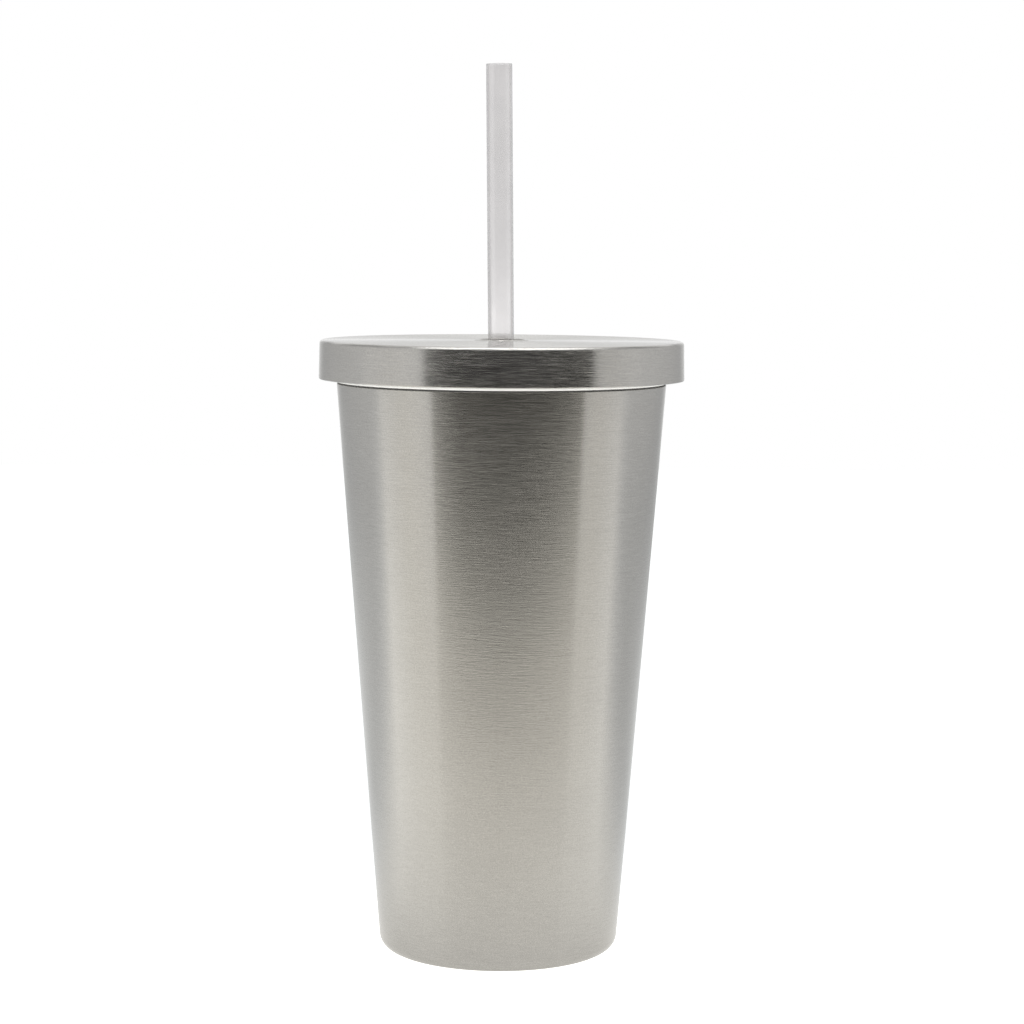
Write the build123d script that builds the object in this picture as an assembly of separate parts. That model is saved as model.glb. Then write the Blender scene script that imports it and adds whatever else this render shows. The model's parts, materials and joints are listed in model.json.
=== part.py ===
from build123d import *
import os

# Double-walled cold cup with a screw lid and a drinking straw.
# Millimetres, +Z up, origin at the centre of the ring that the cup stands on.

# Small edge roundings: sheared steel, bent steel, a moulded corner and a moulded rim
SHEAR_R = 0.1
BEND_R = 0.2
CORNER_R = 0.3
RIM_R = 0.4

# How deep a ridge or a rib is sunk in the wall that carries it
EMBED = 0.3

# Outer steel shell: a straight taper with rolled rims
BASE_R = 32.75
SHELL_TOP_Z = 156.4
SHELL_TAPER = 0.0790
STEEL_T = 0.6
BASE_EDGE_R = 3.6
FOOT_INNER_R = 27.6
FOOT_LIP_H = 2.0
TOP_EDGE_R = 0.15
TOP_LIP_INNER_R = 42.95

# Base cap: plastic disc that closes the shell from inside its foot lip
CAP_FLANGE_R = 31.4
CAP_PLUG_R = 27.5
CAP_PANEL_R = 22.0
CAP_T = 1.4
CAP_PLUG_Z = 1.1
CAP_PANEL_RISE = 0.8

# Seal between the shell's rim and the liner's collar
SEAL_T = 0.4
SEAL_INNER_R = 43.1
SEAL_OUTER_R = 44.85

# Liner: plastic inner cup, with the collar that shows under the lid
FLOOR_Z = 11.0
FLOOR_R = 26.0
FLOOR_EDGE_R = 5.0
LINER_WALL = 1.8
RIM_Z = 165.2
MOUTH_R = 41.2
RIM_EDGE_R = 0.55
NECK_R = 43.6
COLLAR_R = 45.25
COLLAR_BOTTOM_Z = SHELL_TOP_Z + SEAL_T
COLLAR_TOP_Z = 158.2
COLLAR_EDGE_R = 0.35

# Two-start thread between the neck and the lid
THREAD_LEAD = 8.0
THREAD_STARTS = 2
THREAD_SWEEP_DEG = 180.0
THREAD_DEPTH = 1.2
THREAD_ROOT_W = 1.7
THREAD_CREST_W = 0.9
NECK_THREAD_Z = 159.5
LID_THREAD_Z = 159.6
THREAD_DROP = 1.5

# Lid: steel cap over a plastic insert
LID_BOTTOM_Z = 157.65
LID_TOP_Z = 168.25
LID_TOP_R = 49.8
LID_BOTTOM_R = 50.0
LID_STEEL_T = 0.5
LID_TOP_EDGE_R = 1.0
LID_BOTTOM_EDGE_R = 0.3
LID_HEM_INNER_R = 48.4
HOLE_R = 6.2
HOLE_LIP_R = 0.9
HOLE_LIP_DEPTH = 2.35
BEAD_H = 0.3
BEAD_EDGE_R = 0.35
BEAD_TOP_R = 7.1
BEAD_FOOT_R = 7.6

# Insert: top plate, outer skirt, threaded ring and straw boss
INSERT_GAP = 0.12
PLATE_T = 1.6
SKIRT_INNER_R = 48.15
SKIRT_BOTTOM_Z = 158.2
THREAD_RING_INNER_R = 45.3
THREAD_RING_OUTER_R = 46.6
THREAD_RING_BOTTOM_Z = 158.6
RIB_COUNT = 24
RIB_W = 1.0
RIB_BOTTOM_Z = 160.0
BOSS_BORE_R = 4.1
BOSS_OUTER_R = 5.6
BOSS_TOP_Z = 167.2
BOSS_BOTTOM_Z = 161.0
POCKET_R = 9.2
POCKET_FLOOR_Z = 165.3
POCKET_WALL = 1.4

# Lid gasket: flat ring in a groove under the plate, seated on the rim
GASKET_INNER_R = 40.5
GASKET_OUTER_R = 43.5
GASKET_EDGE_R = 0.3
GROOVE_DEPTH = 0.6
GROOVE_CLEARANCE = 0.35

# Straw with its stop ring, leaning a little in the boss's bore
STRAW_R = 3.55
STRAW_BORE_R = 3.15
STRAW_LENGTH = 231.6
STRAW_FLOOR_GAP = 0.4
STRAW_END_R = 0.15
STRAW_LEAN_DEG = -0.76
STRAW_PIVOT_Z = 151.0
STOP_RING_R = 5.3
STOP_RING_H = 3.0
STOP_RING_UP = 60.0
STOP_RING_EDGE_R = 0.6


def shell_radius(z):
    """Outer radius of the tapered steel shell at height z."""
    return BASE_R + SHELL_TAPER * z


def turned(corners):
    """Solid of revolution about Z, from closed corners (radius, height, corner rounding)."""
    points = [(r, z) for r, z, rounding in corners]
    roundings = [rounding for r, z, rounding in corners]
    outline = FilletPolyline(*points, radius=roundings, close=True)
    return revolve(Plane.XZ * make_face(outline), Axis.Z)


def thread(root_r, crest_r, start_z):
    """Helical ridges for every start, rooted at root_r, with the first one starting on +X."""
    side = 1 if root_r > crest_r else -1
    buried_r = root_r + side * EMBED
    profile = Plane.XZ * make_face(
        Polyline(
            (buried_r, -THREAD_ROOT_W / 2),
            (root_r, -THREAD_ROOT_W / 2),
            (crest_r, -THREAD_CREST_W / 2),
            (crest_r, THREAD_CREST_W / 2),
            (root_r, THREAD_ROOT_W / 2),
            (buried_r, THREAD_ROOT_W / 2),
            close=True,
        )
    )
    rise = THREAD_LEAD * THREAD_SWEEP_DEG / 360
    ridge = sweep(profile, path=Helix(THREAD_LEAD, rise, root_r), is_frenet=True)
    turns = [Rotation(0, 0, 360 * start / THREAD_STARTS) for start in range(THREAD_STARTS)]
    return [Pos(0, 0, start_z) * turn * ridge for turn in turns]


def outer_shell():
    """Brushed steel shell: tapered wall, rolled foot with an upturned lip, and a top lip."""
    inner_bottom_r = shell_radius(STEEL_T) - STEEL_T
    inner_top_r = shell_radius(SHELL_TOP_Z - STEEL_T) - STEEL_T
    return turned(
        [
            (FOOT_INNER_R, 0, RIM_R),
            (BASE_R, 0, BASE_EDGE_R),
            (shell_radius(SHELL_TOP_Z), SHELL_TOP_Z, TOP_EDGE_R),
            (TOP_LIP_INNER_R, SHELL_TOP_Z, BEND_R),
            (TOP_LIP_INNER_R, SHELL_TOP_Z - STEEL_T, BEND_R),
            (inner_top_r, SHELL_TOP_Z - STEEL_T, BEND_R),
            (inner_bottom_r, STEEL_T, BASE_EDGE_R - STEEL_T),
            (FOOT_INNER_R + STEEL_T, STEEL_T, SHEAR_R),
            (FOOT_INNER_R + STEEL_T, STEEL_T + FOOT_LIP_H, BEND_R),
            (FOOT_INNER_R, STEEL_T + FOOT_LIP_H, BEND_R),
        ]
    )


def base_cap():
    """Plastic disc: a flange that rests on the foot lip, and a plug with a raised panel."""
    flange_z = STEEL_T + FOOT_LIP_H
    panel_z = CAP_PLUG_Z + CAP_PANEL_RISE
    return turned(
        [
            (0, panel_z, 0),
            (CAP_PANEL_R, panel_z, CORNER_R),
            (CAP_PANEL_R + CAP_PANEL_RISE, CAP_PLUG_Z, CORNER_R),
            (CAP_PLUG_R, CAP_PLUG_Z, RIM_R),
            (CAP_PLUG_R, flange_z, 0),
            (CAP_FLANGE_R, flange_z, CORNER_R),
            (CAP_FLANGE_R, flange_z + CAP_T, RIM_R),
            (0, flange_z + CAP_T, 0),
        ]
    )


def shell_seal():
    """Flat silicone ring between the shell's top lip and the liner's collar."""
    return turned(
        [
            (SEAL_INNER_R, SHELL_TOP_Z, 0),
            (SEAL_OUTER_R, SHELL_TOP_Z, SHEAR_R),
            (SEAL_OUTER_R, COLLAR_BOTTOM_Z, SHEAR_R),
            (SEAL_INNER_R, COLLAR_BOTTOM_Z, 0),
        ]
    )


def cup_liner():
    """Inner cup: dished floor, tapered wall, collar, threaded neck and a flat-topped rim."""
    inner_taper = (MOUTH_R - FLOOR_R) / (RIM_Z - FLOOR_Z)
    outer_floor_z = FLOOR_Z - LINER_WALL
    outer_floor_r = FLOOR_R + LINER_WALL - inner_taper * LINER_WALL
    outer_collar_r = MOUTH_R - inner_taper * (RIM_Z - COLLAR_BOTTOM_Z) + LINER_WALL
    body = turned(
        [
            (0, outer_floor_z, 0),
            (outer_floor_r, outer_floor_z, FLOOR_EDGE_R + LINER_WALL),
            (outer_collar_r, COLLAR_BOTTOM_Z, BEND_R),
            (COLLAR_R, COLLAR_BOTTOM_Z, COLLAR_EDGE_R),
            (COLLAR_R, COLLAR_TOP_Z, COLLAR_EDGE_R),
            (NECK_R, COLLAR_TOP_Z, BEND_R),
            (NECK_R, RIM_Z, RIM_EDGE_R),
            (MOUTH_R, RIM_Z, RIM_EDGE_R),
            (FLOOR_R, FLOOR_Z, FLOOR_EDGE_R),
            (0, FLOOR_Z, 0),
        ]
    )
    return body + thread(NECK_R, NECK_R + THREAD_DEPTH, NECK_THREAD_Z)


def lid_cap():
    """Steel lid: flat top, rounded edge, slightly flared skirt, hem, and a beaded hole."""
    inner_top_z = LID_TOP_Z - LID_STEEL_T
    lip_bottom_z = LID_TOP_Z - HOLE_LIP_DEPTH
    hem_top_z = LID_BOTTOM_Z + LID_STEEL_T
    return turned(
        [
            (HOLE_R, lip_bottom_z, SHEAR_R),
            (HOLE_R, LID_TOP_Z + BEAD_H, BEAD_EDGE_R),
            (BEAD_TOP_R, LID_TOP_Z + BEAD_H, BEND_R),
            (BEAD_FOOT_R, LID_TOP_Z, BEND_R),
            (LID_TOP_R, LID_TOP_Z, LID_TOP_EDGE_R),
            (LID_BOTTOM_R, LID_BOTTOM_Z, LID_BOTTOM_EDGE_R),
            (LID_HEM_INNER_R, LID_BOTTOM_Z, BEND_R),
            (LID_HEM_INNER_R, hem_top_z, SHEAR_R),
            (LID_BOTTOM_R - LID_STEEL_T, hem_top_z, SHEAR_R),
            (LID_TOP_R - LID_STEEL_T, inner_top_z, LID_TOP_EDGE_R - LID_STEEL_T),
            (HOLE_R + LID_STEEL_T, inner_top_z, HOLE_LIP_R - LID_STEEL_T),
            (HOLE_R + LID_STEEL_T, lip_bottom_z, SHEAR_R),
        ]
    )


def lid_insert():
    """Plastic insert: plate, skirt, threaded ring with ribs, gasket groove and straw boss."""
    plate_top_z = LID_TOP_Z - LID_STEEL_T
    plate_bottom_z = plate_top_z - PLATE_T
    groove_z = plate_bottom_z + GROOVE_DEPTH
    skirt_top_r = LID_TOP_R - LID_STEEL_T - INSERT_GAP
    skirt_bottom_r = LID_BOTTOM_R - LID_STEEL_T - INSERT_GAP
    body = turned(
        [
            (BOSS_BORE_R, BOSS_BOTTOM_Z, CORNER_R),
            (BOSS_BORE_R, BOSS_TOP_Z, RIM_R),
            (BOSS_OUTER_R, BOSS_TOP_Z, RIM_R),
            (BOSS_OUTER_R, POCKET_FLOOR_Z, BEND_R),
            (POCKET_R, POCKET_FLOOR_Z, RIM_R),
            (POCKET_R, plate_top_z, BEND_R),
            (skirt_top_r, plate_top_z, LID_TOP_EDGE_R),
            (skirt_bottom_r, SKIRT_BOTTOM_Z, CORNER_R),
            (SKIRT_INNER_R, SKIRT_BOTTOM_Z, CORNER_R),
            (SKIRT_INNER_R, plate_bottom_z, CORNER_R),
            (THREAD_RING_OUTER_R, plate_bottom_z, CORNER_R),
            (THREAD_RING_OUTER_R, THREAD_RING_BOTTOM_Z, CORNER_R),
            (THREAD_RING_INNER_R, THREAD_RING_BOTTOM_Z, CORNER_R),
            (THREAD_RING_INNER_R, plate_bottom_z, CORNER_R),
            (GASKET_OUTER_R + GROOVE_CLEARANCE, plate_bottom_z, SHEAR_R),
            (GASKET_OUTER_R + GROOVE_CLEARANCE, groove_z, 0),
            (GASKET_INNER_R - GROOVE_CLEARANCE, groove_z, 0),
            (GASKET_INNER_R - GROOVE_CLEARANCE, plate_bottom_z, SHEAR_R),
            (POCKET_R + POCKET_WALL, plate_bottom_z, RIM_R),
            (POCKET_R + POCKET_WALL, POCKET_FLOOR_Z - POCKET_WALL, RIM_R),
            (BOSS_OUTER_R, POCKET_FLOOR_Z - POCKET_WALL, RIM_R),
            (BOSS_OUTER_R, BOSS_BOTTOM_Z, CORNER_R),
        ]
    )
    rib_length = SKIRT_INNER_R - THREAD_RING_OUTER_R + 2 * EMBED
    rib_height = plate_bottom_z - RIB_BOTTOM_Z + EMBED
    rib = Box(rib_length, RIB_W, rib_height, align=(Align.CENTER, Align.CENTER, Align.MIN))
    rib_ring = PolarLocations((SKIRT_INNER_R + THREAD_RING_OUTER_R) / 2, RIB_COUNT)
    ribs = [Pos(0, 0, RIB_BOTTOM_Z) * place * rib for place in rib_ring]
    # The lid's ridges run below the neck's ridges on the same screw surface, THREAD_DROP lower.
    phase_deg = 360 * (LID_THREAD_Z + THREAD_DROP - NECK_THREAD_Z) / THREAD_LEAD
    ridges = thread(THREAD_RING_INNER_R, THREAD_RING_INNER_R - THREAD_DEPTH, LID_THREAD_Z)
    return body + ribs + [Rotation(0, 0, phase_deg) * ridge for ridge in ridges]


def lid_gasket():
    """Flat silicone ring: top face on the groove's floor, underside on the liner's rim."""
    top_z = LID_TOP_Z - LID_STEEL_T - PLATE_T + GROOVE_DEPTH
    return turned(
        [
            (GASKET_INNER_R, RIM_Z, GASKET_EDGE_R),
            (GASKET_OUTER_R, RIM_Z, GASKET_EDGE_R),
            (GASKET_OUTER_R, top_z, GASKET_EDGE_R),
            (GASKET_INNER_R, top_z, GASKET_EDGE_R),
        ]
    )


def leaning(solid):
    """Tilt a solid built on the Z axis to the straw's lean, about its pivot height."""
    pivot = Pos(0, 0, STRAW_PIVOT_Z)
    return pivot * Rotation(0, STRAW_LEAN_DEG, 0) * pivot.inverse() * solid


def straw():
    """Clear tube that stands on the liner's floor and passes through the lid."""
    bottom_z = FLOOR_Z + STRAW_FLOOR_GAP
    tube = turned(
        [
            (STRAW_BORE_R, bottom_z, STRAW_END_R),
            (STRAW_R, bottom_z, STRAW_END_R),
            (STRAW_R, bottom_z + STRAW_LENGTH, STRAW_END_R),
            (STRAW_BORE_R, bottom_z + STRAW_LENGTH, STRAW_END_R),
        ]
    )
    return leaning(tube)


def straw_stop_ring():
    """Ring bonded on the straw, which stops it from being pulled out through the boss."""
    bottom_z = FLOOR_Z + STRAW_FLOOR_GAP + STOP_RING_UP
    ring = turned(
        [
            (STRAW_R, bottom_z, 0),
            (STOP_RING_R, bottom_z, STOP_RING_EDGE_R),
            (STOP_RING_R, bottom_z + STOP_RING_H, STOP_RING_EDGE_R),
            (STRAW_R, bottom_z + STOP_RING_H, 0),
        ]
    )
    return leaning(ring)


PARTS = [
    outer_shell,
    base_cap,
    shell_seal,
    cup_liner,
    lid_cap,
    lid_insert,
    lid_gasket,
    straw,
    straw_stop_ring,
]

os.makedirs("parts", exist_ok=True)
for make in PARTS:
    export_step(make(), f"parts/{make.__name__}.step")
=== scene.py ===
import json
import math

import bmesh
import bpy
from mathutils import Matrix, Vector


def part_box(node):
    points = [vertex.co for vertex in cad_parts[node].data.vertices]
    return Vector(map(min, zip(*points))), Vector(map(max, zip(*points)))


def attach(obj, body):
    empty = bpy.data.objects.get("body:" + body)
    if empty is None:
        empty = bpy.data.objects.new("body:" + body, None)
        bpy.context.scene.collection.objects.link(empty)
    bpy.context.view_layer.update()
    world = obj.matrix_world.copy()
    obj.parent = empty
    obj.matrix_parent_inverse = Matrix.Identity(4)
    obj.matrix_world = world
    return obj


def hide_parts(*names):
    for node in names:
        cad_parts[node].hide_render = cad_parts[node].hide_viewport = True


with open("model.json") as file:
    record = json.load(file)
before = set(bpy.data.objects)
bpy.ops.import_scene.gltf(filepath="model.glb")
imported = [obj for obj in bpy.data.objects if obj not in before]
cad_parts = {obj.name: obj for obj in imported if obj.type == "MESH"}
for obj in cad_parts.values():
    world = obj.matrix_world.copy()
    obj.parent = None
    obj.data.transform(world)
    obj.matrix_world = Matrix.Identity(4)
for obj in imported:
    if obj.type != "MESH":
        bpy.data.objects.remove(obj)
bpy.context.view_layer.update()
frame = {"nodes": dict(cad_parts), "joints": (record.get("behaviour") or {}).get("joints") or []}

MM = 0.001

# ---------------------------------------------------------------- camera
CAMERA_OFFSET = 3.1 * MM
CAMERA_DISTANCE = 745 * MM
CAMERA_HEIGHT = 195 * MM
CAMERA_PITCH = math.radians(5.667)
CAMERA_ROLL = math.radians(0.40)
CAMERA_LENS = 95.65
SENSOR_WIDTH = 36


def make_camera():
    """A long lens a little above the lid, tipped down at the cup and rolled by a fraction of a degree."""
    data = bpy.data.cameras.new("camera")
    data.lens = CAMERA_LENS
    data.sensor_width = SENSOR_WIDTH
    camera = bpy.data.objects.new("camera", data)
    place = Matrix.Translation((CAMERA_OFFSET, -CAMERA_DISTANCE, CAMERA_HEIGHT))
    aim = Matrix.Rotation(math.pi / 2 - CAMERA_PITCH, 4, "X") @ Matrix.Rotation(CAMERA_ROLL, 4, "Z")
    camera.matrix_world = place @ aim
    bpy.context.scene.collection.objects.link(camera)
    bpy.context.scene.camera = camera


make_camera()

# ---------------------------------------------------------------- node helpers


class Tree:
    """Short calls for building a node tree."""

    def __init__(self, tree):
        self.nodes = tree.nodes
        self.links = tree.links
        self.nodes.clear()

    def add(self, kind, inputs=(), **settings):
        """A node of that kind; inputs maps a socket's name or index to a value or a source socket."""
        node = self.nodes.new(kind)
        for name, value in settings.items():
            setattr(node, name, value)
        for key, value in dict(inputs).items():
            self.feed(node.inputs[key], value)
        return node

    def feed(self, socket, value):
        """Links a source socket to the socket, or sets its value."""
        if isinstance(value, bpy.types.NodeSocket):
            self.links.new(value, socket)
        else:
            socket.default_value = value

    def math(self, operation, a, b=0.0):
        return self.add("ShaderNodeMath", {0: a, 1: b}, operation=operation).outputs[0]

    def noise(self, vector, scale, detail=2.0, roughness=0.5, lacunarity=2.0):
        inputs = {"Vector": vector, "Scale": scale, "Detail": detail}
        inputs.update({"Roughness": roughness, "Lacunarity": lacunarity})
        return self.add("ShaderNodeTexNoise", inputs).outputs["Fac"]

    def remap(self, value, low, high, to_low=0.0, to_high=1.0):
        """The value stretched from one range to another, and held inside it."""
        inputs = {"Value": value, 1: low, 2: high, 3: to_low, 4: to_high}
        return self.add("ShaderNodeMapRange", inputs).outputs[0]

    def blend(self, a, share, b):
        """The given share of a and the rest of b."""
        part = self.math("MULTIPLY", a, share)
        return self.math("ADD", part, self.math("MULTIPLY", b, 1.0 - share))

    def ramp(self, factor, stops):
        """Colour along the factor, from a list of (position from 0 to 1, colour)."""
        node = self.add("ShaderNodeValToRGB", {0: factor})
        elements = node.color_ramp.elements
        elements.remove(elements[-1])
        for index, (position, colour) in enumerate(stops):
            stop = elements[0] if index == 0 else elements.new(position)
            stop.position = position
            stop.color = (*colour, 1)
        return node.outputs[0]

    def mix(self, factor, a, b):
        """Colour a where the factor is 0 and colour b where it is 1."""
        node = self.add("ShaderNodeMix", data_type="RGBA")
        self.feed(node.inputs[0], factor)
        self.feed(node.inputs[6], a)
        self.feed(node.inputs[7], b)
        return node.outputs[2]


def material(name):
    """A new node material and its empty tree."""
    made = bpy.data.materials.new(name)
    made.use_nodes = True
    return made, Tree(made.node_tree)


# ---------------------------------------------------------------- materials
STEEL_DARK = (0.377, 0.37, 0.353, 1)
STEEL_LIGHT = (0.489, 0.48, 0.458, 1)
STEEL_ROUGH = 0.19
# Brush marks per metre across the brushing: fine hairlines over broader streaks
HAIRLINES_ACROSS = 4500.0
STREAKS_ACROSS = 2300.0
STREAK_ROUGHNESS = 0.8
STREAK_LACUNARITY = 1.6
LINE_SHIFT_X = 0.47
LINE_SHIFT_Y = 0.31
STEEL_GRAIN = 3000.0
STEEL_CLOUD = 38.0
HAIRLINE_SHARE = 0.5
GRAIN_SHARE = 0.5
CLOUD_SHARE = 0.15
# Parts of a noise's range that are stretched to the full range
TONE_RANGE = (0.34, 0.66)
CLOUD_RANGE = (0.35, 0.65)
GLOSS_RANGE = (0.3, 0.7)
# Keeps the radius above zero on the axis
RADIUS_GUARD = 1e-9
PLASTIC_CLOUD = 60.0
PLASTIC_BUMP = 0.3
PLASTIC_GLOSS = 0.05
SUBSURFACE_WEIGHT = 0.1
SUBSURFACE_REACH = 3 * MM
STRAW_LINES = (1400, 1400, 12)
STRAW_BUMP = 0.15
STRAW_LINE_DEPTH = 0.02 * MM
STRAW_HAZE = 120.0
STRAW_ROUGH = (0.06, 0.12)
STRAW_IOR = 1.49
SHADE = 0.97


def turned_coordinates(tree, around, across):
    """Coordinates that run round the Z axis slowly and across the brush lines quickly.

    Each line is also shifted along the noise's other two directions, so no two lines look alike.
    """
    point = tree.add("ShaderNodeTexCoord").outputs["Object"]
    split = tree.add("ShaderNodeSeparateXYZ", {0: point})
    x, y, z = split.outputs
    squared = tree.math("ADD", tree.math("MULTIPLY", x, x), tree.math("MULTIPLY", y, y))
    radius = tree.math("SQRT", tree.math("ADD", squared, RADIUS_GUARD))
    turn_x = tree.math("MULTIPLY", tree.math("DIVIDE", x, radius), around)
    turn_y = tree.math("MULTIPLY", tree.math("DIVIDE", y, radius), around)
    line = tree.math("MULTIPLY", tree.math("SUBTRACT", z, radius), across)
    shifted_x = tree.math("ADD", turn_x, tree.math("MULTIPLY", line, LINE_SHIFT_X))
    shifted_y = tree.math("ADD", turn_y, tree.math("MULTIPLY", line, LINE_SHIFT_Y))
    return tree.add("ShaderNodeCombineXYZ", {0: shifted_x, 1: shifted_y, 2: line}).outputs[0]


def brushed_steel(name, hairlines, streaks, brush_depth, brush_gloss):
    """Stainless steel brushed round the axis: short and long scratches, fine grain and faint clouding.

    The fewer hairlines or streaks there are round the axis, the longer each of them is.
    """
    made, tree = material(name)
    hairline = tree.noise(turned_coordinates(tree, hairlines, HAIRLINES_ACROSS), 1.0, 1.0)
    streak_place = turned_coordinates(tree, streaks, STREAKS_ACROSS)
    streak = tree.noise(streak_place, 1.0, 2.0, STREAK_ROUGHNESS, STREAK_LACUNARITY)
    point = tree.add("ShaderNodeTexCoord").outputs["Object"]
    grain = tree.noise(point, STEEL_GRAIN, 1.0)
    cloud = tree.noise(point, STEEL_CLOUD, 3.0)
    lines = tree.blend(hairline, HAIRLINE_SHARE, streak)
    surface = tree.blend(grain, GRAIN_SHARE, lines)
    tone = tree.blend(cloud, CLOUD_SHARE, surface)
    colour = tree.mix(tree.remap(tone, *TONE_RANGE), STEEL_DARK, STEEL_LIGHT)
    rough = tree.remap(lines, *GLOSS_RANGE, STEEL_ROUGH - brush_gloss, STEEL_ROUGH + brush_gloss)
    bump = tree.add("ShaderNodeBump", {"Height": lines, "Strength": 1.0, "Distance": brush_depth})
    tangent = tree.add("ShaderNodeTangent", direction_type="RADIAL", axis="Z")
    shader = tree.add(
        "ShaderNodeBsdfPrincipled",
        {
            "Base Color": colour,
            "Metallic": 1.0,
            "Roughness": rough,
            "Anisotropic": 1.0,
            "Anisotropic Rotation": 0.25,
            "Normal": bump.outputs[0],
            "Tangent": tangent.outputs[0],
        },
    )
    tree.add("ShaderNodeOutputMaterial", {0: shader.outputs[0]})
    return made


def shaded(colour):
    """The same colour a little darker."""
    return (*(SHADE * channel for channel in colour[:3]), 1)


def moulded_plastic(name, colour, rough, grain_scale, grain_depth):
    """Moulded plastic or silicone: a fine grain, slight clouding and a soft gloss."""
    made, tree = material(name)
    point = tree.add("ShaderNodeTexCoord").outputs["Object"]
    cloud = tree.noise(point, PLASTIC_CLOUD, 3.0)
    grain = tree.noise(point, grain_scale, 2.0)
    tint = tree.mix(tree.remap(cloud, *CLOUD_RANGE), colour, shaded(colour))
    height = {"Height": grain, "Strength": PLASTIC_BUMP, "Distance": grain_depth}
    bump = tree.add("ShaderNodeBump", height)
    shader = tree.add(
        "ShaderNodeBsdfPrincipled",
        {
            "Base Color": tint,
            "Roughness": tree.remap(grain, *GLOSS_RANGE, rough - PLASTIC_GLOSS, rough + PLASTIC_GLOSS),
            "Subsurface Weight": SUBSURFACE_WEIGHT,
            "Subsurface Radius": (SUBSURFACE_REACH, SUBSURFACE_REACH, SUBSURFACE_REACH),
            "Subsurface Scale": 1.0,
            "Normal": bump.outputs[0],
        },
    )
    tree.add("ShaderNodeOutputMaterial", {0: shader.outputs[0]})
    return made


def clear_plastic(name, colour):
    """Clear extruded plastic: faint lines along the tube, a slight haze and light lost in the walls."""
    made, tree = material(name)
    point = tree.add("ShaderNodeTexCoord").outputs["Object"]
    stretched = tree.add("ShaderNodeMapping", {"Vector": point, "Scale": STRAW_LINES})
    lines = tree.noise(stretched.outputs[0], 1.0, 2.0)
    haze = tree.noise(point, STRAW_HAZE, 2.0)
    tint = tree.mix(tree.remap(haze, *CLOUD_RANGE), colour, shaded(colour))
    height = {"Height": lines, "Strength": STRAW_BUMP, "Distance": STRAW_LINE_DEPTH}
    bump = tree.add("ShaderNodeBump", height)
    shader = tree.add(
        "ShaderNodeBsdfPrincipled",
        {
            "Base Color": tint,
            "Roughness": tree.remap(haze, *GLOSS_RANGE, *STRAW_ROUGH),
            "IOR": STRAW_IOR,
            "Transmission Weight": 1.0,
            "Normal": bump.outputs[0],
        },
    )
    tree.add("ShaderNodeOutputMaterial", {0: shader.outputs[0]})
    return made


LINER_WHITE = (0.95, 0.95, 0.935, 1)
INSERT_WHITE = (0.85, 0.85, 0.83, 1)
BASE_GREY = (0.70, 0.70, 0.69, 1)
# The silicone seal's near-black colour is painted shade: it stands for the shadow in the gap under the
# liner's collar
SEAL_PAINTED_SHADOW = (0.08, 0.08, 0.077, 1)
GASKET_MILKY = (0.72, 0.74, 0.74, 1)
STRAW_TINT = (0.85, 0.84, 0.84, 1)
SMOOTH_GRAIN = {"grain_scale": 2500.0, "grain_depth": 0.02 * MM}
MATT_GRAIN = {"grain_scale": 1800.0, "grain_depth": 0.06 * MM}
SILICONE_GRAIN = {"grain_scale": 3000.0, "grain_depth": 0.02 * MM}

steel_shell = brushed_steel("shell_steel", 15.0, 5.0, brush_depth=0.03 * MM, brush_gloss=0.02)
steel_lid = brushed_steel("lid_steel", 12.0, 5.0, brush_depth=0.07 * MM, brush_gloss=0.045)
white_liner = moulded_plastic("liner_plastic", LINER_WHITE, rough=0.35, **SMOOTH_GRAIN)
white_insert = moulded_plastic("insert_plastic", INSERT_WHITE, rough=0.35, **SMOOTH_GRAIN)
grey_base = moulded_plastic("base_plastic", BASE_GREY, rough=0.55, **MATT_GRAIN)
# Silicone seal coloured as painted shade of the gap between the collar and the shell's top
seal_silicone = moulded_plastic("seal_silicone", SEAL_PAINTED_SHADOW, rough=0.6, **SILICONE_GRAIN)
gasket_silicone = moulded_plastic("gasket_silicone", GASKET_MILKY, rough=0.45, **SILICONE_GRAIN)
straw_clear = clear_plastic("straw_clear", STRAW_TINT)

# ---------------------------------------------------------------- turned pieces
SEGMENTS = 256
STRAW_SEGMENTS = 96
ARC_STEP = math.radians(12)
ON_AXIS = 1e-7
NORMAL_WEIGHT = 100


def rounded(corners):
    """Closed outline (radius, height) with each corner of (radius, height, rounding) made an arc."""
    outline = []
    count = len(corners)
    for index, (r, z, rounding) in enumerate(corners):
        corner = Vector((r, z))
        to_last = Vector(corners[index - 1][:2]) - corner
        to_next = Vector(corners[(index + 1) % count][:2]) - corner
        if rounding == 0:
            outline.append(corner)
            continue
        half = to_last.angle(to_next) / 2
        middle = (to_last.normalized() + to_next.normalized()).normalized()
        centre = corner + middle * (rounding / math.sin(half))
        reach = rounding / math.tan(half)
        start = corner + to_last.normalized() * reach - centre
        end = corner + to_next.normalized() * reach - centre
        turn = start.angle_signed(end)
        steps = max(2, math.ceil(abs(turn) / ARC_STEP))
        for step in range(steps + 1):
            outline.append(centre + Matrix.Rotation(-turn * step / steps, 2) @ start)
    return outline


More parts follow.
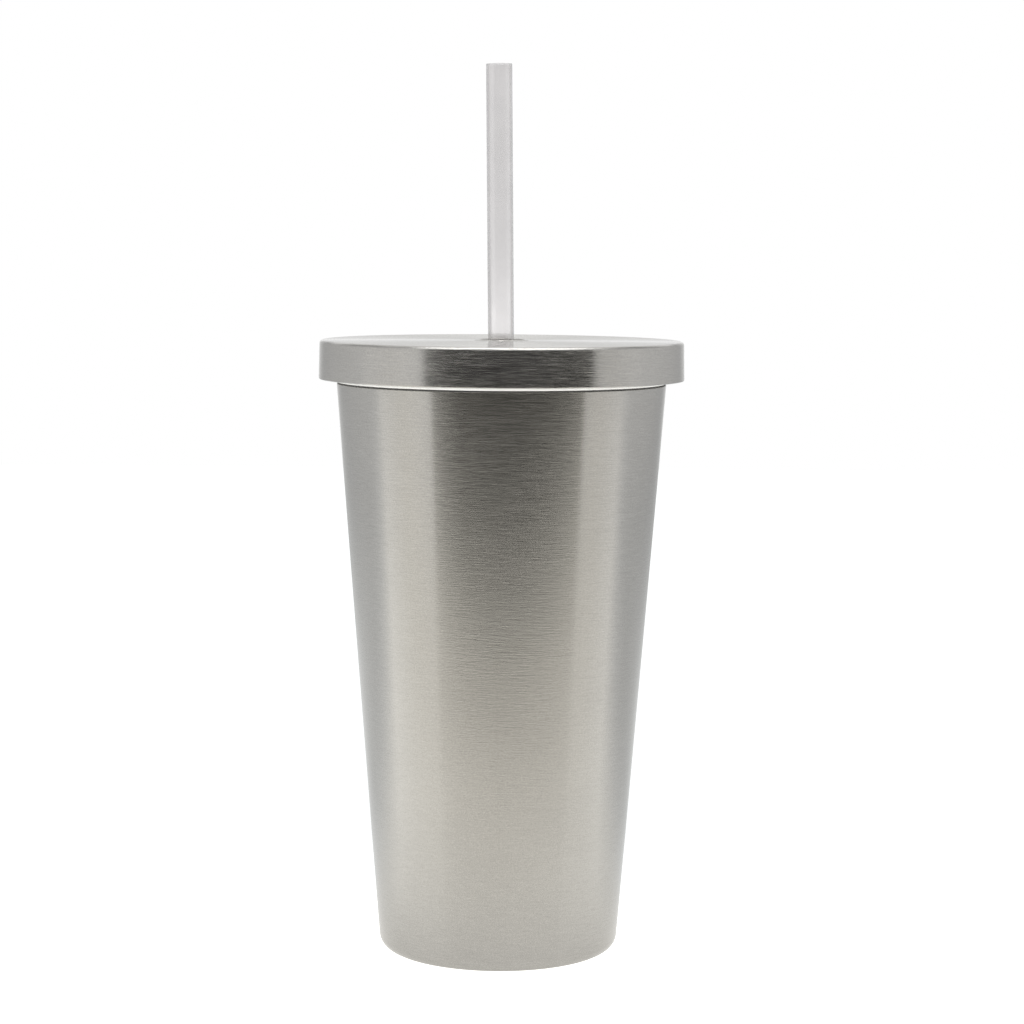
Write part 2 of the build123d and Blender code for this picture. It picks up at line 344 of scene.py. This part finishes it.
def lathe(name, corners, segments=SEGMENTS):
    """Mesh object turned about Z from a closed outline, with normals that follow the wide faces."""
    outline = rounded(corners)
    mesh = bmesh.new()
    rings = []
    for point in outline:
        if point.x < ON_AXIS:
            rings.append([mesh.verts.new((0, 0, point.y))] * segments)
            continue
        angles = [2 * math.pi * step / segments for step in range(segments)]
        ring = [mesh.verts.new((point.x * math.cos(a), point.x * math.sin(a), point.y)) for a in angles]
        rings.append(ring)
    for index, ring in enumerate(rings):
        beyond = rings[(index + 1) % len(rings)]
        for step in range(segments):
            after = (step + 1) % segments
            corners_of_face = [ring[step], ring[after], beyond[after], beyond[step]]
            unique = list(dict.fromkeys(corners_of_face))
            if len(unique) > 2:
                mesh.faces.new(unique)
    bmesh.ops.recalc_face_normals(mesh, faces=mesh.faces)
    data = bpy.data.meshes.new(name)
    mesh.to_mesh(data)
    mesh.free()
    data.shade_smooth()
    piece = bpy.data.objects.new(name, data)
    bpy.context.scene.collection.objects.link(piece)
    weighted = piece.modifiers.new("normals", "WEIGHTED_NORMAL")
    weighted.weight = NORMAL_WEIGHT
    return piece


def finish_piece(piece, body, node, look):
    """Gives a piece its material, the body that it rides on and the CAD node that it stands for."""
    piece.data.materials.append(look)
    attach(piece, body)
    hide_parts(node)


SHELL_BASE_R = 32.75 * MM
SHELL_TAPER = 0.0790
SHEET = 0.6 * MM
shell_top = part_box("outer_shell")[1].z


def shell_radius(z):
    """Outside radius of the steel shell's straight taper at a height."""
    return SHELL_BASE_R + SHELL_TAPER * z


def make_shell():
    """Steel shell with its rolled foot and top lip."""
    foot_r = 27.6 * MM
    foot_lip = 2.0 * MM
    foot_roll = 0.4 * MM
    foot_crease = 0.1 * MM
    base_edge = 3.6 * MM
    lip_r = 42.95 * MM
    top_edge = 0.15 * MM
    bend = 0.2 * MM
    corners = [
        (foot_r, 0, foot_roll),
        (SHELL_BASE_R, 0, base_edge),
        (shell_radius(shell_top), shell_top, top_edge),
        (lip_r, shell_top, bend),
        (lip_r, shell_top - SHEET, bend),
        (shell_radius(shell_top - SHEET) - SHEET, shell_top - SHEET, bend),
        (shell_radius(SHEET) - SHEET, SHEET, base_edge - SHEET),
        (foot_r + SHEET, SHEET, foot_crease),
        (foot_r + SHEET, SHEET + foot_lip, bend),
        (foot_r, SHEET + foot_lip, bend),
    ]
    finish_piece(lathe("shell_body", corners), "cup", "outer_shell", steel_shell)


def make_lid_cap():
    """Steel lid with a rounded edge, a hemmed skirt and a beaded, turned-down hole."""
    sheet = 0.5 * MM
    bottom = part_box("lid_cap")[0].z
    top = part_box("lid_insert")[1].z + sheet
    bottom_r = 50.0 * MM
    top_r = 49.8 * MM
    hem_r = 48.4 * MM
    hole_r = 6.2 * MM
    bead_r = 7.1 * MM
    bead = 0.3 * MM
    bead_edge = 0.35 * MM
    bead_slope = 0.5 * MM
    lip_bottom = top - 2.35 * MM
    lip_edge = 0.15 * MM
    lip_bend = 0.4 * MM
    top_edge = 1.0 * MM
    bottom_edge = 0.3 * MM
    bend = 0.2 * MM
    crease = 0.1 * MM
    corners = [
        (hole_r, lip_bottom, lip_edge),
        (hole_r, top + bead, bead_edge),
        (bead_r, top + bead, bend),
        (bead_r + bead_slope, top, bend),
        (top_r, top, top_edge),
        (bottom_r, bottom, bottom_edge),
        (hem_r, bottom, bend),
        (hem_r, bottom + sheet, crease),
        (bottom_r - sheet, bottom + sheet, crease),
        (top_r - sheet, top - sheet, bend),
        (hole_r + sheet, top - sheet, lip_bend),
        (hole_r + sheet, lip_bottom, lip_edge),
    ]
    finish_piece(lathe("lid_top", corners), "lid", "lid_cap", steel_lid)


def straw_line():
    """A point on the straw's axis and the axis's direction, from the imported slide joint."""
    slide = next(joint for joint in frame["joints"] if joint["name"] == "straw_slide")
    low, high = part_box("straw_stop_ring")
    return (low + high) / 2, Vector(slide["axis"]).normalized()


def on_straw_line(piece):
    """Tilts a piece built along Z, with z = 0 at the stop ring's middle, on to the straw's axis."""
    middle, direction = straw_line()
    turn = Vector((0, 0, 1)).rotation_difference(direction).to_matrix().to_4x4()
    piece.data.transform(Matrix.Translation(middle) @ turn)


def make_straw():
    """Clear tube with polished, rounded ends."""
    middle, direction = straw_line()
    low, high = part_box("straw")
    outer_r = 3.55 * MM
    bore_r = 3.15 * MM
    end = 0.15 * MM
    tilt = outer_r * math.sin(direction.angle(Vector((0, 0, 1))))
    bottom = (low.z + tilt - middle.z) / direction.z
    top = (high.z - tilt - middle.z) / direction.z
    corners = [(bore_r, bottom, end), (outer_r, bottom, end), (outer_r, top, end), (bore_r, top, end)]
    piece = lathe("straw_tube", corners, STRAW_SEGMENTS)
    on_straw_line(piece)
    finish_piece(piece, "straw", "straw", straw_clear)


make_shell()
make_lid_cap()
make_straw()

# ---------------------------------------------------------------- carried-over CAD nodes
CAD_LOOKS = {
    "cup_liner": white_liner,
    # The seal's material paints the shadow of the gap under the collar
    "shell_seal": seal_silicone,
    "base_cap": grey_base,
    "lid_insert": white_insert,
    "lid_gasket": gasket_silicone,
    "straw_stop_ring": straw_clear,
}
for node_name, look in CAD_LOOKS.items():
    for material_slot in frame["nodes"][node_name].material_slots:
        material_slot.material = look

# ---------------------------------------------------------------- floor
FLOOR_FRONT = -345 * MM
FLOOR_BACK = 1600 * MM
FLOOR_SIDE = 900 * MM
FLOOR_PALE = 0.1
# Painted pool of light: the floor's glow fades from full to POOL_SHADE away from a centre in front of the
# cup
POOL_CENTRE = (0, -150 * MM, 0)
POOL_EDGE = 520 * MM
POOL_FADE = 1000 * MM
POOL_SHADE = 0.6
# Painted shadow: the floor's glow is darker round the cup's foot
FOOT_EDGE = 40 * MM
FOOT_FADE = 120 * MM
FOOT_SHADE = 0.75
WHITE_OUT = 1.3
# Painted light: glow and tint of the floor in front of the cup, beside it and behind it, by the place on
# Y in mm
FLOOR_GLOW = [
    (-180, (1.05, 1.01, 0.915)),
    (0, (1.31, 1.29, 1.24)),
    (80, (0.86, 0.87, 0.87)),
    (140, (0.68, 0.69, 0.69)),
    (240, (0.72, 0.73, 0.73)),
]
# Painted light: the floor's glow is a little brighter on the left than on the right
TILT_REACH = 300 * MM
TILT_LEFT = 1.08
TILT_RIGHT = 0.9


def floor_look():
    """White paper that glows with painted light: a wide painted pool of light, warmer in front of the
    cup, painted shadow round the cup's foot, and white in the picture.

    From below it can be looked through.
    """
    look, tree = material("floor")
    point = tree.add("ShaderNodeTexCoord").outputs["Object"]
    x, y, z = tree.add("ShaderNodeSeparateXYZ", {0: point}).outputs
    # Painted light, brighter on the left
    tilt = tree.remap(x, -TILT_REACH, TILT_REACH, TILT_LEFT, TILT_RIGHT)
    first, last = FLOOR_GLOW[0][0], FLOOR_GLOW[-1][0]
    place = tree.remap(y, first * MM, last * MM)
    glow = tree.ramp(place, [((at - first) / (last - first), colour) for at, colour in FLOOR_GLOW])
    # Painted pool of light on the floor
    away = tree.add("ShaderNodeVectorMath", {0: point, 1: POOL_CENTRE}, operation="DISTANCE")
    pool = tree.remap(away.outputs["Value"], POOL_EDGE, POOL_FADE, 1.0, POOL_SHADE)
    # Painted shadow round the cup's foot
    near = tree.add("ShaderNodeVectorMath", {0: point}, operation="LENGTH").outputs["Value"]
    foot = tree.remap(near, FOOT_EDGE, FOOT_FADE, FOOT_SHADE, 1.0)
    seen = tree.add("ShaderNodeLightPath").outputs["Is Camera Ray"]
    lit = tree.math("MULTIPLY", tree.math("MULTIPLY", pool, foot), tilt)
    strength = tree.math("MAXIMUM", lit, tree.math("MULTIPLY", seen, WHITE_OUT))
    light = tree.add("ShaderNodeEmission", {"Color": glow, "Strength": strength})
    pale = tree.add("ShaderNodeBsdfDiffuse", {"Color": (FLOOR_PALE, FLOOR_PALE, FLOOR_PALE, 1)})
    lit_paper = tree.add("ShaderNodeAddShader", {0: pale.outputs[0], 1: light.outputs[0]})
    clear = tree.add("ShaderNodeBsdfTransparent")
    under = tree.add("ShaderNodeNewGeometry").outputs["Backfacing"]
    shader = tree.add("ShaderNodeMixShader", {0: under, 1: lit_paper.outputs[0], 2: clear.outputs[0]})
    tree.add("ShaderNodeOutputMaterial", {0: shader.outputs[0]})
    return look


def make_floor():
    """Pale table top that ends a little way in front of the cup."""
    data = bpy.data.meshes.new("floor")
    corners = [
        (-FLOOR_SIDE, FLOOR_FRONT, 0),
        (FLOOR_SIDE, FLOOR_FRONT, 0),
        (FLOOR_SIDE, FLOOR_BACK, 0),
        (-FLOOR_SIDE, FLOOR_BACK, 0),
    ]
    data.from_pydata(corners, [], [(0, 1, 2, 3)])
    floor = bpy.data.objects.new("floor", data)
    bpy.context.scene.collection.objects.link(floor)
    data.materials.append(floor_look())


make_floor()

# ---------------------------------------------------------------- studio light
# Brightness of the studio round the cup, by the angle from the front in degrees, left to right.
# Low down the front is dark between two tall soft panels, and the back is a white screen.
LOW_BAND = [
    (-180, 0.95),
    (-172, 0.95),
    (-164, 0.72),
    (-150, 0.56),
    (-130, 0.73),
    (-105, 0.89),
    (-80, 0.94),
    (-65, 1.0),
    (-56, 0.98),
    (-50, 0.85),
    (-48, 0.3),
    (-40, 0.1),
    (-28, 0.0),
    (40, 0.0),
    (58, 0.05),
    (61, 0.68),
    (70, 0.82),
    (90, 0.93),
    (110, 0.9),
    (130, 0.77),
    (150, 0.56),
    (164, 0.72),
    (172, 0.95),
    (180, 0.95),
]
HIGH_BAND = [
    (-180, 1.2),
    (-150, 1.2),
    (-130, 0.5),
    (-65, 0.8),
    (-45, 1.0),
    (0, 0.45),
    (45, 0.75),
    (65, 0.8),
    (130, 0.5),
    (150, 1.2),
    (180, 1.2),
]
TOP_BAND = [
    (-180, 1.6),
    (-84, 0.7),
    (-68, 3.8),
    (86, 3.8),
    (102, 0.7),
    (180, 1.6),
]
# Where the high band and the top band start, and half of each soft edge, in degrees over the horizon
HIGH_BAND_START = 20
TOP_BAND_START = 48
BAND_BLEND = 2.5
# Least light that comes through the clear plastic, so that it isn't black against the dark front
CLEAR_LIGHT = 0.7
# Straight behind the cup the light grows a little from the horizon down
HAZE = 0.39
HAZE_TOP = math.radians(-0.3)
HAZE_BOTTOM = math.radians(-1.8)
HAZE_EDGE = math.cos(math.radians(10))
HAZE_MIDDLE = math.cos(math.radians(7))
WORLD_MAP = 1024
FILL_PLACE = (0, -700 * MM, 20 * MM)
FILL_WIDTH = 900 * MM
FILL_HEIGHT = 200 * MM
FILL_TIP = math.radians(12)
FILL_POWER = 2.5


def light_band(tree, place, stops):
    """Brightness round the studio, from a list of (angle in degrees, brightness)."""
    return tree.ramp(place, [((degrees + 180) / 360, (light, light, light)) for degrees, light in stops])


def above(tree, height, degrees):
    """0 below that height over the horizon and 1 above it, with a soft edge."""
    low = math.radians(degrees - BAND_BLEND)
    high = math.radians(degrees + BAND_BLEND)
    return tree.remap(height, low, high)


def make_world():
    """Three bands of soft light round the cup, and a white background in the picture."""
    world = bpy.data.worlds.new("studio")
    world.use_nodes = True
    bpy.context.scene.world = world
    tree = Tree(world.node_tree)
    direction = tree.add("ShaderNodeTexCoord").outputs["Generated"]
    x, y, z = tree.add("ShaderNodeSeparateXYZ", {0: direction}).outputs
    angle = tree.math("ARCTAN2", x, tree.math("MULTIPLY", y, -1.0))
    place = tree.remap(angle, -math.pi, math.pi)
    height = tree.math("ARCSINE", z)
    low = light_band(tree, place, LOW_BAND)
    high = light_band(tree, place, HIGH_BAND)
    top = light_band(tree, place, TOP_BAND)
    walls = tree.mix(above(tree, height, HIGH_BAND_START), low, high)
    studio = tree.mix(above(tree, height, TOP_BAND_START), walls, top)
    behind = tree.remap(y, HAZE_EDGE, HAZE_MIDDLE)
    haze = tree.remap(height, HAZE_TOP, HAZE_BOTTOM, 0.0, HAZE)
    strength = tree.math("ADD", tree.math("MULTIPLY", behind, haze), 1.0)
    ray = tree.add("ShaderNodeLightPath").outputs
    least = tree.math("MULTIPLY", ray["Is Transmission Ray"], CLEAR_LIGHT)
    lifted = tree.add("ShaderNodeVectorMath", {0: studio, 1: least}, operation="MAXIMUM").outputs[0]
    light = tree.add("ShaderNodeBackground", {"Color": lifted, "Strength": strength})
    backdrop = tree.add("ShaderNodeBackground", {"Color": (1, 1, 1, 1)})
    parts = {0: ray["Is Camera Ray"], 1: light.outputs[0], 2: backdrop.outputs[0]}
    both = tree.add("ShaderNodeMixShader", parts)
    tree.add("ShaderNodeOutputWorld", {0: both.outputs[0]})
    world.cycles.sampling_method = "MANUAL"
    world.cycles.sample_map_resolution = WORLD_MAP


def make_fill():
    """A soft lamp low in front that lifts the plastic parts and leaves no mark on the steel."""
    data = bpy.data.lights.new("fill", "AREA")
    data.shape = "RECTANGLE"
    data.size = FILL_WIDTH
    data.size_y = FILL_HEIGHT
    data.energy = FILL_POWER
    fill = bpy.data.objects.new("fill", data)
    fill.location = FILL_PLACE
    fill.rotation_euler = (math.pi / 2 + FILL_TIP, 0, 0)
    fill.visible_camera = False
    fill.visible_glossy = False
    fill.visible_transmission = False
    bpy.context.scene.collection.objects.link(fill)


make_world()
make_fill()
bpy.context.scene.view_settings.view_transform = "Standard"

bpy.context.view_layer.update()
